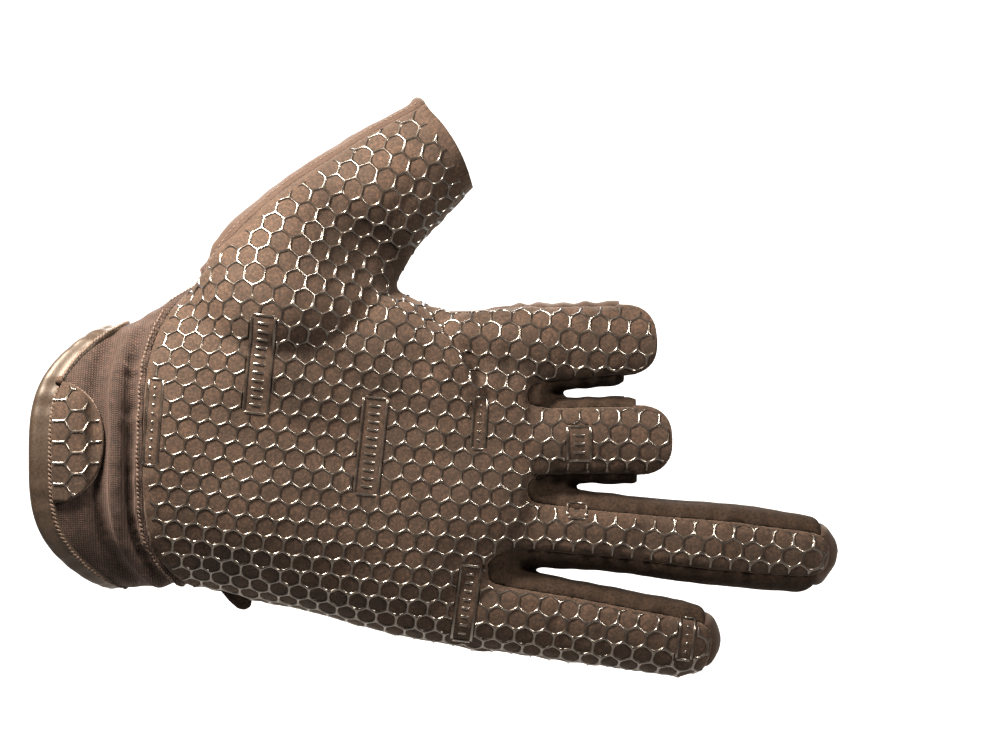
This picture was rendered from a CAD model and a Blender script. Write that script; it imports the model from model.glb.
# A left-hand angler's glove, filled out and with its fingers spread, palm towards the camera.
import math
from functools import partial

import bmesh
import bpy
import numpy as np
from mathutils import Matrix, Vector
from mathutils.bvhtree import BVHTree


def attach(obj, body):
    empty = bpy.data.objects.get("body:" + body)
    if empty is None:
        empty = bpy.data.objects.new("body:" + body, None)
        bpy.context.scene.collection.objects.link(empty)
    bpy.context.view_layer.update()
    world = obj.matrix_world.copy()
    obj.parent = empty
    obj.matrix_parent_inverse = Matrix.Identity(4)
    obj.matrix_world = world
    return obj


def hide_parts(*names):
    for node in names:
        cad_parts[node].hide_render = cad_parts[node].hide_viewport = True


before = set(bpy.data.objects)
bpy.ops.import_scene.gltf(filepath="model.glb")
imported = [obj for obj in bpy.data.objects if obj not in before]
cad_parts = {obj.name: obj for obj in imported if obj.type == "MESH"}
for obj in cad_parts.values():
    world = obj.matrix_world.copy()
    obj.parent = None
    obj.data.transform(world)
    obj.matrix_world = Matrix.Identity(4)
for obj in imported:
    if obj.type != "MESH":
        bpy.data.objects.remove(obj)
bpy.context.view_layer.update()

MM = 0.001
# Points nearer than this are one, in metres
MERGE = 0.00002
# A place in front of the whole glove, in millimetres along y
IN_FRONT = -70.0
# A measure that stands for "nowhere near"
FAR = 99.0

# The glove's sizes in millimetres, as in the frame
PALM_LENGTH = 126.0
PALM_WIDTH = 91.5
PALM_DEPTH = 29.0
WRIST_WIDTH = 69.5
WRIST_DEPTH = 45.0
BINDING_WIDTH = 6.4
TAB_HEIGHT = 32.0
TAB_REACH = 13.4
TONGUE = 9.2
SIDE_SEAM_Y = 1.0
STRIP_BACK_Y = 4.0
CLOTH = 1.3
VOXEL = 0.85

# Sections of the wrist and palm: station as a share of the palm's length, then the top and bottom
# edges and the palm and back sides, as shares of the width and depth
SECTION = ("at", "top", "bottom", "palm", "back")
WRIST_ROWS = [
    (-0.14, 0.49, -0.495, 0.5, 0.5),
    (0.0, 0.495, -0.495, 0.49, 0.5),
    (0.075, 0.502, -0.498, 0.475, 0.5),
    (0.127, 0.518, -0.502, 0.46, 0.49),
    (0.19, 0.583, -0.5, 0.455, 0.475),
]
PALM_ROWS = [
    (0.284, 0.52, -0.385, 0.71, 0.66),
    (0.4, 0.565, -0.42, 0.74, 0.61),
    (0.52, 0.56, -0.459, 0.71, 0.57),
    (0.635, 0.525, -0.503, 0.63, 0.54),
    (0.7, 0.475, -0.53, 0.58, 0.52),
    (0.76, 0.44, -0.545, 0.54, 0.5),
    (0.863, 0.43, -0.557, 0.47, 0.46),
    (0.945, 0.425, -0.575, 0.41, 0.42),
    (1.0, 0.41, -0.565, 0.31, 0.33),
]
BODY_POWER = 2.35
FINGER_POWER = 2.15
LITTLE_FORK_DROP = 0.085

# Swellings and hollows of the palm: x, z, their radii and the depth, as shares
PALM_FORMS = [
    (0.66, 0.06, 0.24, 0.22, 0.13),
    (0.62, 0.56, 0.12, 0.13, 0.2),
    (0.4, 0.4, 0.14, 0.2, -0.1),
    (0.38, -0.22, 0.16, 0.18, -0.06),
    (0.8, 0.34, 0.05, 0.12, -0.07),
]
# Folds of the wrist: distance from its seam, half-width, depth
WRIST_FOLDS = [
    (0.055, 0.022, 0.034),
    (0.105, 0.025, -0.018),
    (0.17, 0.03, 0.04),
]
SEAM = {"at": 0.164, "top": 0.12, "bottom": 0.078, "reach_top": 0.714, "reach_bottom": 0.5, "power": 4}
MOUTH = {"corner": 0.066, "palm": 0.135, "back": 0.05, "power": 3.4}

ROUND_SIDE = 1.5
FINGER_COLUMNS = ("at", "half", "thick", "lean")
FINGERS = {
    "thumb": {
        "x": 0.397, "z": 0.361, "heading": 58, "tip_heading": 33, "length": 72.0, "width": 26.6,
        "depth": 25.0, "open": True, "tongue": 0, "start": -0.2, "up": 0.87, "down": ROUND_SIDE,
        "rows": [
            (-0.2, 0.7, 0.6, 0.14), (-0.06, 1.42, 1.05, 0.2), (0.15, 1.74, 1.32, 0.22),
            (0.4, 1.62, 1.3, 0.18), (0.6, 1.38, 1.18, 0.12), (0.8, 1.18, 1.08, 0.07), (1.0, 1.0, 1.0, 0.04),
        ],
    },
    "index": {
        "x": 0.863, "z": 0.31, "heading": 3.2, "tip_heading": 3.2, "length": 47.0, "width": 24.0,
        "depth": 21.5, "open": True, "tongue": TONGUE, "start": -0.45, "up": 0.9, "down": 0.8,
        "rows": [
            (-0.45, 0.85, 1.0, 0), (0.0, 0.93, 1.02, 0), (0.34, 1.01, 1.0, 0), (0.8, 0.94, 0.96, 0),
            (1.0, 0.91, 0.94, 0),
        ],
    },
    "middle": {
        "x": 0.863, "z": 0.04, "heading": 1, "tip_heading": 1, "length": 51.0, "width": 24.0,
        "depth": 21.5, "open": True, "tongue": TONGUE, "start": -0.4, "up": 0.8, "down": 0.8,
        "rows": [
            (-0.4, 0.95, 1.0, 0), (0.0, 1.0, 1.02, 0), (0.4, 0.97, 1.0, 0), (0.83, 0.97, 0.96, 0),
            (1.0, 0.94, 0.94, 0),
        ],
    },
    "ring": {
        "x": 0.863, "z": -0.188, "heading": -5.8, "tip_heading": -5.8, "length": 96.5, "width": 22.0,
        "depth": 20.5, "open": False, "tongue": 0, "start": -0.2, "up": 0.6, "down": 0.6,
        "rows": [
            (-0.2, 1.0, 1.05, 0), (0.0, 1.06, 1.08, 0), (0.22, 0.975, 1.0, 0), (0.44, 0.97, 0.98, 0),
            (0.66, 1.04, 1.0, 0), (0.86, 0.97, 0.92, 0), (1.0, 0.93, 0.86, 0),
        ],
    },
    "little": {
        "x": 0.825, "z": -0.43, "heading": -9.4, "tip_heading": -9.4, "length": 70.0, "width": 21.0,
        "depth": 18.5, "open": False, "tongue": 0, "start": -0.3, "up": 0.62, "down": ROUND_SIDE,
        "rows": [
            (-0.3, 0.95, 1.05, 0), (0.2, 1.07, 1.08, 0), (0.52, 1.03, 1.0, 0), (0.77, 0.96, 0.95, 0),
            (1.0, 0.92, 0.88, 0),
        ],
    },
}
STRIP_PAIRS = [("index", "middle"), ("middle", "ring"), ("ring", "little")]


# Helpers for shapes

def smooth(value, low, high):
    share = np.clip((value - low) / (high - low), 0, 1)
    return share * share * (3 - 2 * share)


def mix(a, b, share):
    return a + (b - a) * share


def bell(value):
    return np.exp(-value * value)


def column(rows, columns, key, at):
    """A table's column at a station, on a smooth curve through its rows."""
    k = columns.index(key)
    stops = np.array([row[0] for row in rows], float)
    values = np.array([row[k] for row in rows], float)
    last = len(rows) - 1
    before = np.maximum(np.arange(len(rows)) - 1, 0)
    after = np.minimum(np.arange(len(rows)) + 1, last)
    slopes = (values[after] - values[before]) / (stops[after] - stops[before])
    at = np.asarray(at, float)
    i = np.clip(np.searchsorted(stops, at, side="left") - 1, 0, last - 1)
    span = stops[i + 1] - stops[i]
    u = np.clip((at - stops[i]) / span, 0, 1)
    rise = values[i + 1] - values[i]
    start, end = slopes[i] * span, slopes[i + 1] * span
    return values[i] + u * (start + u * (3 * rise - 2 * start - end + u * (start + end - 2 * rise)))


def bent(value, power):
    """Turns a circle's sine or cosine into a squarer oval's."""
    return np.sign(value) * np.abs(value) ** (2 / power)


BODY_ROWS = [
    (at, top * WRIST_WIDTH, bottom * WRIST_WIDTH, palm * WRIST_DEPTH, back * WRIST_DEPTH)
    for at, top, bottom, palm, back in WRIST_ROWS
] + [
    (at, top * PALM_WIDTH, bottom * PALM_WIDTH, palm * PALM_DEPTH, back * PALM_DEPTH)
    for at, top, bottom, palm, back in PALM_ROWS
]


def palm_sink(x, z):
    """How far the palm side stands out less than its sections, at a place."""
    total = 0
    for fx, fz, rx, rz, depth in PALM_FORMS:
        u = (x - fx * PALM_LENGTH) / (rx * PALM_LENGTH)
        v = (z - fz * PALM_WIDTH) / (rz * PALM_WIDTH)
        total = total + depth * PALM_DEPTH * np.exp(-u * u - v * v)
    return total


def wrist_seam(z, y):
    """The seam between the knitted wrist and the palm, as x."""
    rise = np.where(z > 0, SEAM["top"], SEAM["bottom"])
    reach = WRIST_WIDTH * np.where(z > 0, SEAM["reach_top"], SEAM["reach_bottom"])
    front = SEAM["at"] + rise * np.minimum(np.abs(z) / reach, 1) ** SEAM["power"]
    across = smooth(z, -WRIST_WIDTH * SEAM["reach_bottom"], WRIST_WIDTH * SEAM["reach_top"])
    corner = SEAM["at"] + mix(SEAM["bottom"], SEAM["top"], across)
    return PALM_LENGTH * mix(front, corner, smooth(y, -WRIST_DEPTH / 6, WRIST_DEPTH / 6))


def mouth(z, y):
    """The rim of the wrist opening, as x."""
    share = np.minimum(np.abs(z) / (WRIST_WIDTH / 2), 1) ** MOUTH["power"]
    bulge = mix(MOUTH["palm"], MOUTH["back"], smooth(y, -WRIST_DEPTH / 3, WRIST_DEPTH / 3))
    return PALM_LENGTH * (MOUTH["corner"] - bulge * (1 - share))


def wrist_sink(x, z, y):
    """How deep the wrist's folds are at a place."""
    away = wrist_seam(z, y) - x
    total = 0
    for start, half, depth in WRIST_FOLDS:
        total = total + depth * WRIST_DEPTH * bell((away - start * WRIST_WIDTH) / (half * WRIST_WIDTH))
    return total


def body_point(at, across, deep, out=0.0):
    """A point on the glove without its fingers, moved outwards by out."""
    top = column(BODY_ROWS, SECTION, "top", at) + out
    bottom = column(BODY_ROWS, SECTION, "bottom", at) - out
    palm = column(BODY_ROWS, SECTION, "palm", at)
    back = column(BODY_ROWS, SECTION, "back", at)
    side = np.where(deep < 0, palm, back) + out
    z = mix(bottom, top, (bent(across, BODY_POWER) + 1) / 2)
    drop = smooth(-z, PALM_WIDTH * 0.14, PALM_WIDTH * 0.34) * smooth(at, 0.7, 1)
    x = at * PALM_LENGTH - drop * LITTLE_FORK_DROP * PALM_LENGTH
    flat = bent(deep, BODY_POWER)
    y = side * flat
    sink = palm_sink(x, z) * np.maximum(-flat, 0) + wrist_sink(x, z, y) * np.abs(flat)
    return np.stack([x, y - np.sign(y) * sink, z], axis=-1)


def finger_line(finger, at):
    """A place on a finger's curved middle line, as x and z, and its heading there."""
    turn = math.radians(finger["tip_heading"] - finger["heading"])
    start = math.radians(finger["heading"])
    mean = start + turn * at / 2
    reach = finger["length"] * at
    x = finger["x"] * PALM_LENGTH + reach * np.cos(mean)
    z = finger["z"] * PALM_WIDTH + reach * np.sin(mean)
    return x, z, start + turn * at


def beside(finger, at, share, extra=0.0):
    """A point beside a finger's middle line, at a share of its half-width."""
    x, z, heading = finger_line(finger, at)
    off = share * column(finger["rows"], FINGER_COLUMNS, "half", at) * finger["width"] * 0.5 + extra
    return [float(x - off * np.sin(heading)), float(z + off * np.cos(heading))]


# The share of a closed fingertip's rounding that is lofted, before a flat face closes it
TIP_END = 0.985


def tip_share(finger):
    """The rounded tip's share of a closed finger's length."""
    return 0 if finger["open"] else finger["width"] * 0.52 / finger["length"]


def finger_point(finger, at, across, deep):
    """A point on a finger's form; across and deep run round its section."""
    tip = tip_share(finger)
    into = np.clip((at - 1 + tip) / tip, 0, 1) if tip else 0 * at
    rounded = np.sqrt(1 - (TIP_END * into) ** 2)
    half = column(finger["rows"], FINGER_COLUMNS, "half", at) * finger["width"] * 0.5 * rounded
    thick = column(finger["rows"], FINGER_COLUMNS, "thick", at) * finger["depth"] * 0.5 * rounded
    lean = column(finger["rows"], FINGER_COLUMNS, "lean", at) * finger["depth"]
    x, z, heading = finger_line(finger, at)
    off = half * bent(across, FINGER_POWER)
    x = x - off * np.sin(heading)
    z = z + off * np.cos(heading)
    y = thick * bent(deep, FINGER_POWER) - lean
    y = np.where(y < 0, y + palm_sink(x, z) * (-y / thick), y)
    return np.stack([x, y, z], axis=-1)


# Helpers for Blender's meshes

def deselect_all():
    if bpy.context.object and bpy.context.object.mode != "OBJECT":
        bpy.ops.object.mode_set(mode="OBJECT")
    bpy.ops.object.select_all(action="DESELECT")


def select_only(*pieces):
    deselect_all()
    for piece in pieces:
        piece.select_set(True)
    bpy.context.view_layer.objects.active = pieces[0]


def points_of(piece):
    co = np.empty(len(piece.data.vertices) * 3, np.float32)
    piece.data.vertices.foreach_get("co", co)
    return co.reshape(-1, 3).astype(float) / MM


def normals_of(piece):
    normals = np.empty(len(piece.data.vertices) * 3, np.float32)
    piece.data.vertex_normals.foreach_get("vector", normals)
    return normals.reshape(-1, 3).astype(float)


def put_points(piece, points):
    piece.data.vertices.foreach_set("co", (points * MM).astype(np.float32).ravel())
    piece.data.update()


def apply_modifier(piece, kind, **settings):
    select_only(piece)
    modifier = piece.modifiers.new(kind.title(), kind)
    for key, value in settings.items():
        setattr(modifier, key, value)
    bpy.ops.object.modifier_apply(modifier=modifier.name)


def new_object(name, data):
    made = bpy.data.objects.new(name, data)
    bpy.context.scene.collection.objects.link(made)
    return made


def mesh_piece(name, vertices, faces):
    mesh = bpy.data.meshes.new(name)
    mesh.from_pydata(vertices, [], faces)
    return new_object(name, mesh)


def face_outwards():
    """Turns every face of the mesh in edit mode outwards, and leaves edit mode."""
    bpy.ops.mesh.select_all(action="SELECT")
    bpy.ops.mesh.normals_make_consistent(inside=False)
    bpy.ops.object.mode_set(mode="OBJECT")


def face_the_palm(piece):
    """Turns an open sheet so that its faces look towards the palm side."""
    mesh = piece.data
    total = sum((polygon.normal * polygon.area for polygon in mesh.polygons), Vector())
    if total.y > 0:
        mesh.flip_normals()


def tree_of(*pieces):
    """The surfaces of several pieces, to lay others on, in millimetres."""
    vertices, polygons = [], []
    for piece in pieces:
        base = len(vertices)
        vertices += [tuple(v.co / MM) for v in piece.data.vertices]
        polygons += [tuple(base + i for i in polygon.vertices) for polygon in piece.data.polygons]
    return BVHTree.FromPolygons(vertices, polygons)


def front_of(tree, x, z):
    """The palm-side surface at a place, looking along y."""
    y = np.empty(len(x))
    for i, (a, b) in enumerate(zip(x, z)):
        hit = tree.ray_cast((a, IN_FRONT, b), (0, 1, 0))
        y[i] = hit[0][1] if hit[0] is not None else 0.0
    return y


def tube(name, sides, stations, place):
    """A closed tube from a grid whose long edges meet."""
    deselect_all()
    bpy.ops.mesh.primitive_grid_add(x_subdivisions=sides, y_subdivisions=len(stations) - 1, size=2)
    piece = bpy.context.object
    piece.name = name
    flat = points_of(piece) * MM
    turn = (flat[:, 0] + 1) * math.pi
    ring = (flat[:, 1] + 1) / 2 * (len(stations) - 1)
    at = np.interp(ring, np.arange(len(stations)), stations)
    put_points(piece, place(at, np.cos(turn), np.sin(turn)))
    bpy.ops.object.mode_set(mode="EDIT")
    bpy.ops.mesh.select_all(action="SELECT")
    bpy.ops.mesh.remove_doubles(threshold=MERGE)
    bpy.ops.mesh.select_all(action="DESELECT")
    bpy.ops.mesh.select_mode(type="EDGE")
    bpy.ops.mesh.select_non_manifold()
    bpy.ops.mesh.fill_holes(sides=0)
    face_outwards()
    return piece


# Places on the glove: every measure is in millimetres, negative inside

def outline_measure(outline, points):
    """The distance to a closed outline in x and z."""
    x, z = points[:, 0], points[:, 2]
    nearest = np.full(len(x), 1e9)
    inside = np.zeros(len(x), bool)
    for (ax, az), (bx, bz) in zip(outline, outline[1:] + outline[:1]):
        ex, ez = bx - ax, bz - az
        length = ex * ex + ez * ez
        if length < 1e-9:
            continue
        share = np.clip(((x - ax) * ex + (z - az) * ez) / length, 0, 1)
        gap = (x - ax - ex * share) ** 2 + (z - az - ez * share) ** 2
        nearest = np.minimum(nearest, gap)
        crossing = (az > z) != (bz > z)
        if abs(ez) > 1e-9:
            inside ^= crossing & (x < ex * (z - az) / ez + ax)
    return np.where(inside, -1, 1) * np.sqrt(nearest)


def soft_union(a, b, blend):
    """The nearer of two measures, blended where they are nearly the same."""
    overlap = np.maximum(blend - np.abs(a - b), 0) / blend
    return np.minimum(a, b) - overlap * overlap * blend / 4


OUTLINE_STEPS, CAP_STEPS = 16, 20


def finger_outline(finger, start, end, up, down):
    """The two sides of a finger's outline, at shares of its half-width below and above its line."""
    shares = [mix(start, end, i / OUTLINE_STEPS) for i in range(OUTLINE_STEPS + 1)]
    lower = [beside(finger, at, -down) for at in shares]
    upper = [beside(finger, at, up) for at in shares]
    return lower, upper[::-1]


def palm_stretch(finger):
    """The palm panel's stretch along a finger, with its rounded end."""
    if finger is FINGERS["thumb"]:
        lower, upper = finger_outline(finger, finger["start"], 1.3, finger["up"], finger["down"])
        return lower + upper
    tip = 0 if finger["open"] else finger["depth"] * 0.12 / finger["length"]
    rounded = (finger["tongue"] if finger["open"] else finger["width"] * 0.4) / finger["length"]
    straight = 1 - tip - rounded
    lower, upper = finger_outline(finger, finger["start"] / 2, straight, finger["up"], finger["down"])
    cap = []
    for i in range(1, CAP_STEPS):
        angle = i / CAP_STEPS * math.pi
        side = -math.cos(angle)
        share = finger["down"] if side < 0 else finger["up"]
        at = straight + rounded * math.sin(angle) ** 0.8
        cap.append(beside(finger, at, math.copysign(abs(side) ** 0.75, side) * share))
    return lower + cap + upper


def palm_body_outline():
    index, thumb = FINGERS["index"], FINGERS["thumb"]
    fork_edge = 0.965
    rim = PALM_LENGTH * fork_edge
    little_rim = PALM_LENGTH * (fork_edge - LITTLE_FORK_DROP)
    return [
        [0, -PALM_WIDTH],
        [little_rim, -PALM_WIDTH],
        [little_rim, -PALM_WIDTH * 0.31],
        [rim, -PALM_WIDTH * 0.2],
        [rim, beside(index, 0.3, 0)[1]],
        beside(index, 0.3, index["up"]),
        beside(index, -0.15, 1.02),
        beside(index, -0.3, 1.6),
        beside(thumb, 0.55, -ROUND_SIDE),
        beside(thumb, 0.5, 0),
        beside(thumb, 0.2, thumb["up"]),
        beside(thumb, 0.06, 1.1),
        [0, WRIST_WIDTH * 0.95],
    ]


PALM_OUTLINES = [palm_body_outline()] + [palm_stretch(finger) for finger in FINGERS.values()]


def palm_measure(points):
    """Inside the palm panel's seams."""
    total = outline_measure(PALM_OUTLINES[0], points)
    for outline in PALM_OUTLINES[1:]:
        total = soft_union(total, outline_measure(outline, points), 3.0)
    return np.maximum(total, points[:, 1] - SIDE_SEAM_Y)


def strip_outlines(up, down):
    """A strip's stretches along the two fingers that it joins."""
    fork_base = 0.94
    fork = PALM_LENGTH * (fork_base - (LITTLE_FORK_DROP if down is FINGERS["little"] else 0))
    found = []
    for finger, side in ((down, 1), (up, -1)):
        end = 1 - (finger["tongue"] if finger["open"] else finger["depth"] * 0.28) / finger["length"]
        start = (fork - finger["x"] * PALM_LENGTH) / finger["length"]
        found.append([
            beside(finger, start, 0),
            beside(finger, end, 0),
            beside(finger, end, side * 1.2),
            beside(finger, mix(start, end, 0.4), side * 1.05),
            beside(finger, start, side * 1.3),
        ])
    return found


STRIP_OUTLINES = {pair: strip_outlines(FINGERS[pair[0]], FINGERS[pair[1]]) for pair in STRIP_PAIRS}


def strip_measure(pair, points):
    """Inside the place of the strip between two fingers."""
    first, second = STRIP_OUTLINES[pair]
    total = np.minimum(outline_measure(first, points), outline_measure(second, points))
    return np.maximum(total, points[:, 1] - STRIP_BACK_Y)


def wrist_measure(points):
    """Past the wrist seam towards the fingers, positive."""
    return points[:, 0] - wrist_seam(points[:, 2], points[:, 1])


def mouth_measure(points):
    return points[:, 0] - mouth(points[:, 2], points[:, 1])


def along_finger(name, points, at):
    """How far past a station of a finger a point lies, and how far from the finger's middle line."""
    finger = FINGERS[name]
    x, z, heading = finger_line(finger, at)
    dx, dz = points[:, 0] - x, points[:, 2] - z
    along = dx * np.cos(heading) + dz * np.sin(heading)
    across = -dx * np.sin(heading) + dz * np.cos(heading)
    return along, across


def past_end(name, points, short=0.0):
    """Past the end of an open finger's cloth, positive; far from the finger it stays negative."""
    finger = FINGERS[name]
    along, across = along_finger(name, points, 1 - short / finger["length"])
    far = np.abs(across) - finger["width"] * 0.62
    # The thumb's end is cut in a low curve, longest in the middle, and its upper side runs on a little
    if name == "thumb":
        along = along - 1.1 * smooth(across, 9, 12.5) + 0.012 * across * across - 0.8
    return np.minimum(along, -far)


def tongue_fade(points):
    """1 where the palm panel is sewn, 0 on the free tongues of the two short fingers."""
    fade = 1.0
    for name in ("index", "middle"):
        along = past_end(name, points, TONGUE)
        fade = fade * (1 - smooth(along, -1.0, 0.6))
    return fade


def seam_distance(points):
    """The distance to the nearest seam that is sewn."""
    wrist = np.abs(wrist_measure(points))
    palm = palm_measure(points)
    past_wrist = wrist_measure(points) > 0
    sewn = np.where(past_wrist, np.abs(palm), FAR) + (1 - tongue_fade(points)) * 9
    nearest = np.minimum(wrist, sewn)
    for pair in STRIP_PAIRS:
        strip = np.where((palm > 0) & past_wrist, np.abs(strip_measure(pair, points)), FAR)
        nearest = np.minimum(nearest, strip)
    return nearest


def seam_groove(distance):
    """How deep the cloth sinks at a distance from its seam, with a low swelling beside the groove."""
    return 0.62 * np.exp(-distance / 0.75) - 0.16 * bell((distance - 2.3) / 1.1)


# The glove's form

# Places between thumb, palm and fingers where the cloth spans in a soft curve: x, z, radius
WEBS = [
    (87, 48, 13), (78, 60, 12), (60, 62, 12), (46, 48, 14), (38, 50, 13),
    (121, 17, 6), (124, -8, 6), (114, -28, 6),
]
BODY_RINGS, BODY_SIDES = 150, 144
FINGER_RINGS, FINGER_SIDES = 60, 72
TIP_RINGS = 14
# An open finger's form runs on past its cloth, to be cut there
OPEN_END = 1.09


def glove_form():
    """The whole glove's outer form, closed: lofted tubes joined into one even mesh and smoothed."""
    stations = list(np.linspace(BODY_ROWS[0][0], 1.0, BODY_RINGS))
    parts = [tube("form_body", BODY_SIDES, stations, body_point)]
    for name, finger in FINGERS.items():
        tip = tip_share(finger)
        end = OPEN_END if finger["open"] else 1 - tip
        rings = list(np.linspace(finger["start"], end, FINGER_RINGS))
        if tip:
            turns = [i / TIP_RINGS * math.asin(TIP_END) for i in range(1, TIP_RINGS + 1)]
            rings += [1 - tip * (1 - math.sin(turn) / TIP_END) for turn in turns]
        parts.append(tube(f"form_{name}", FINGER_SIDES, rings, partial(finger_point, finger)))
    select_only(*parts)
    bpy.ops.object.join()
    form = bpy.context.object
    form.name = "glove_form"
    apply_modifier(form, "REMESH", mode="VOXEL", voxel_size=VOXEL * MM, use_smooth_shade=True)
    apply_modifier(form, "SMOOTH", factor=0.5, iterations=10)
    points = points_of(form)
    weight = np.zeros(len(points))
    for x, z, radius in WEBS:
        away = np.hypot(points[:, 0] - x, points[:, 2] - z)
        weight = np.maximum(weight, bell(away / radius))
    group = form.vertex_groups.new(name="webs")
    for i in np.nonzero(weight > 0.03)[0]:
        group.add([int(i)], float(weight[i]), "REPLACE")
    apply_modifier(form, "SMOOTH", factor=0.5, iterations=60, vertex_group="webs")
    return form


def value_noise(points, size, seed):
    """Smooth noise of a size in millimetres, from sines that don't repeat together, about -1 to 1."""
    rng = np.random.default_rng(seed)
    total = np.zeros(len(points))
    for _ in range(7):
        direction = rng.normal(size=3)
        direction /= np.linalg.norm(direction)
        stretch = rng.uniform(0.7, 1.5)
        total += np.sin(points @ direction * (2 * math.pi / size) * stretch + rng.uniform(0, 6.28))
    return total / 3.2


# Creases of the palm side: from, to, half-width, depth; negative stands out as a fold
CREASES = [
    ((82, 42), (110, 17), 3.0, -1.7),
    ((94, 44), (109, 20), 1.7, 1.7),
    ((106, 24), (112, 15), 1.6, 1.1),
    ((67, 70), (88, 45), 6.5, 2.4),
    ((98, 38), (112, 36), 2.2, 0.6),
    ((116, 30), (118, 20), 1.6, 0.7),
    ((60, 30), (96, 8), 4.0, 0.5),
    ((52, 18), (84, -14), 4.5, 0.45),
    ((60, -8), (92, -24), 4.0, 0.35),
    ((90, -42), (112, -30), 2.4, 0.5),
    ((140, -46), (146, -58), 1.6, 0.5),
    ((128, -42), (132, -54), 1.8, 0.4),
    ((152, -18), (154, -36), 2.0, 0.45),
    ((178, -22), (180, -38), 2.0, 0.35),
    ((131, 20), (133, 40), 1.8, 0.4),
    ((134, -8), (136, 12), 1.8, 0.4),
    ((84, 62), (92, 74), 2.4, 0.5),
    ((92, 56), (100, 68), 2.2, 0.45),
]
# Folds of the knitted wrist on the palm side: distance from the seam, half-width, depth, and the
# heights between which each runs
KNIT_FOLDS = [
    (3.6, 1.5, 1.8, -40, 30),
    (7.4, 1.7, -1.0, -38, 30),
    (9.6, 0.8, 0.4, -36, 34),
    (12.2, 2.2, 1.5, -34, 34),
]


def relief(points, normals):
    """How far the cloth stands out from the smooth form, or sinks into it."""
    x, y, z = points.T
    height = 0.32 * value_noise(points, 21.0, 3) + 0.12 * value_noise(points, 8.0, 5)
    front = smooth(-normals[:, 1], -0.1, 0.6)
    for (ax, az), (bx, bz), half, depth in CREASES:
        ex, ez = bx - ax, bz - az
        length = math.hypot(ex, ez)
        along = ((x - ax) * ex + (z - az) * ez) / length
        across = (-(x - ax) * ez + (z - az) * ex) / length
        across = across + 0.8 * np.sin(along / 5.0)
        ends = smooth(along, -half, half) * (1 - smooth(along, length - half, length + half))
        height -= depth * bell(across / half) * ends * front
    # Puckers along the seams of the fingers
    palm = np.abs(palm_measure(points))
    pucker = np.sin(x * 2 * math.pi / 6.2 + 1.6 * value_noise(points, 16.0, 8))
    on_fingers = smooth(x, 112, 124) * tongue_fade(points)
    height += 0.26 * pucker * bell(palm / 3.2) * on_fingers
    # The knit is gathered at its seam, with a rounded edge beside it
    away = -wrist_measure(points)
    gather = np.sin(z * 2 * math.pi / 7.5 + 2.2 * value_noise(points, 18.0, 9))
    height += 0.22 * gather * bell((away - 2.0) / 5.0)
    height += 0.45 * bell((away - 1.6) / 0.9) * smooth(-y, -6, 8)
    for start, half, depth, low, high in KNIT_FOLDS:
        wander = 0.8 * value_noise(points, 30.0, 12)
        run = smooth(z, low - 5, low + 5) * (1 - smooth(z, high - 8, high + 8)) * smooth(-y, -8, 10)
        height -= depth * bell((away - start - wander) / half) * run
    # The thumb's hem stands out on its upper side
    along, across = along_finger("thumb", points, 1.0)
    hem = bell((along + 1.6) / 1.5) * smooth(across, 7, 11) * smooth(z, 60, 70)
    return height + 1.1 * hem


# A point nearer than this to a cutting line is taken as lying on it
ON_THE_LINE = 0.06


def cut_along(bm, measure, level=0.0, where=None):
    """Cuts the faces along a line where a measure has a level."""
    bm.verts.ensure_lookup_table()
    bm.verts.index_update()
    points = places_of(bm)
    value = measure(points) - level
    value[np.abs(value) < ON_THE_LINE] = 0
    keep = np.ones(len(points), bool) if where is None else where(points)
    fresh = [v for v, s, k in zip(bm.verts, value, keep) if s == 0 and k]
    crossed = []
    for edge in bm.edges:
        a, b = edge.verts
        if value[a.index] * value[b.index] < 0 and keep[a.index] and keep[b.index]:
            crossed.append((edge, a, value[a.index] / (value[a.index] - value[b.index])))
    for edge, vert, share in crossed:
        fresh.append(bmesh.utils.edge_split(edge, vert, share)[1])
    bmesh.ops.connect_verts(bm, verts=fresh)
    bmesh.ops.triangulate(bm, faces=[f for f in bm.faces if len(f.verts) > 3])


def places_of(bm):
    return np.array([v.co for v in bm.verts], float) / MM


def middles_of(bm):
    return np.array([f.calc_center_median() for f in bm.faces], float) / MM


def drop_loose(bm):
    bmesh.ops.delete(bm, geom=[v for v in bm.verts if not v.link_faces], context="VERTS")


def delete_faces(bm, doomed):
    gone = doomed(middles_of(bm))
    bmesh.ops.delete(bm, geom=[f for f, out in zip(list(bm.faces), gone) if out], context="FACES")


def off_wrist(points):
    return wrist_measure(points) > -1.0


def off_palm(points):
    return palm_measure(points) > -0.1


def panel_of(centres):
    """The number of the panel that a place belongs to: 0 palm, 1 back, 2 to 4 strips, 5 wrist."""
    number = np.ones(len(centres), int)
    palm = palm_measure(centres)
    for i, pair in enumerate(STRIP_PAIRS):
        number[strip_measure(pair, centres) < 0] = 2 + i
    number[palm < 0] = 0
    number[wrist_measure(centres) < 0] = 5
    return number


# The panels, in the order of their numbers: piece, material slot and the solid that it replaces
PANELS = [
    ("glove_palm_suede", "printed_suede", "palm_panel"),
    ("glove_back_fabric", "back_fabric", "back_panel"),
    ("glove_strip_index_middle", "strip_fabric", "finger_strip_index_middle"),
    ("glove_strip_middle_ring", "strip_fabric", "finger_strip_middle_ring"),
    ("glove_strip_ring_little", "strip_fabric", "finger_strip_ring_little"),
    ("glove_wrist_knit", "wrist_knit", "wrist_panel"),
]
# Lines that are cut at and beside a seam, so that its groove has a sharp bottom and even sides
WRIST_CUTS = (-0.9, 0.0, 0.9)
PALM_CUTS = (-0.8, 0.0, 0.8)
# The thumb's end lies above this height
THUMB_SIDE = 50
# How far the knit runs in under the binding, measured from the binding's inner edge
TUCK = 1.6


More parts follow.
